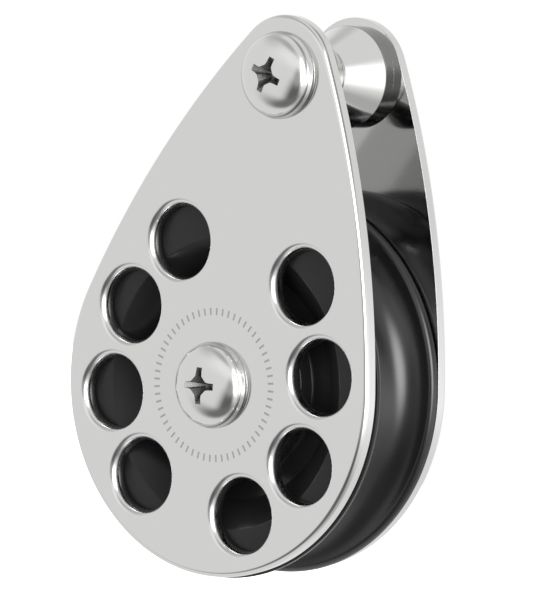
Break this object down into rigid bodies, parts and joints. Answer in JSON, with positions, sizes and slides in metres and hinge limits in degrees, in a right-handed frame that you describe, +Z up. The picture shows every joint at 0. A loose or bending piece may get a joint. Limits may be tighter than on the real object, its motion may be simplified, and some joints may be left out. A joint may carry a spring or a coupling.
{
  "type": "sailing block",
  "caption": "Rope block with one grooved ball-bearing sheave between two polished teardrop cheek plates with lightening holes, and an hourglass head spool.",
  "frame": {"origin": "centre of the head spool, on its axis halfway between the cheeks", "axes": "+Z up along the block from the sheave to the head, +Y along the axle towards the back cheek, +X across"},
  "size_m": [0.065, 0.0306, 0.096],
  "materials": {
    "cheek_steel": "mirror polished stainless steel",
    "pin_steel": "polished stainless steel",
    "race_steel": "ground stainless steel",
    "black_anodised": "satin black hard anodised aluminium",
    "black_acetal": "moulded black acetal",
    "white_acetal": "turned natural acetal"
  },
  "bodies": {
    "block_frame": {"front_cheek": "cheek_steel", "back_cheek": "cheek_steel", "axle": "pin_steel", "axle_screw_front": "pin_steel", "axle_screw_back": "pin_steel", "head_spool": "pin_steel", "head_screw_front": "pin_steel", "head_screw_back": "pin_steel", "side_ring_front": "white_acetal", "side_ring_back": "white_acetal", "inner_race": "race_steel"},
    "sheave_wheel": {"sheave": "black_anodised", "outer_race": "race_steel"},
    "ball_train": {"balls_front": "race_steel", "balls_back": "race_steel", "ball_cage_front": "black_acetal", "ball_cage_back": "black_acetal"}
  },
  "joints": [
    {"name": "sheave_spin", "type": "hinge", "parent": "block_frame", "child": "sheave_wheel", "pos_m": [0, 0, -0.0535], "axis": [0, 1, 0], "continuous": true},
    {"name": "ball_spin", "type": "hinge", "parent": "block_frame", "child": "ball_train", "pos_m": [0, 0, -0.0535], "axis": [0, 1, 0], "continuous": true}
  ],
  "couplings": [
    {"joint": "ball_spin", "follows": "sheave_spin", "ratio": 0.632}
  ]
}
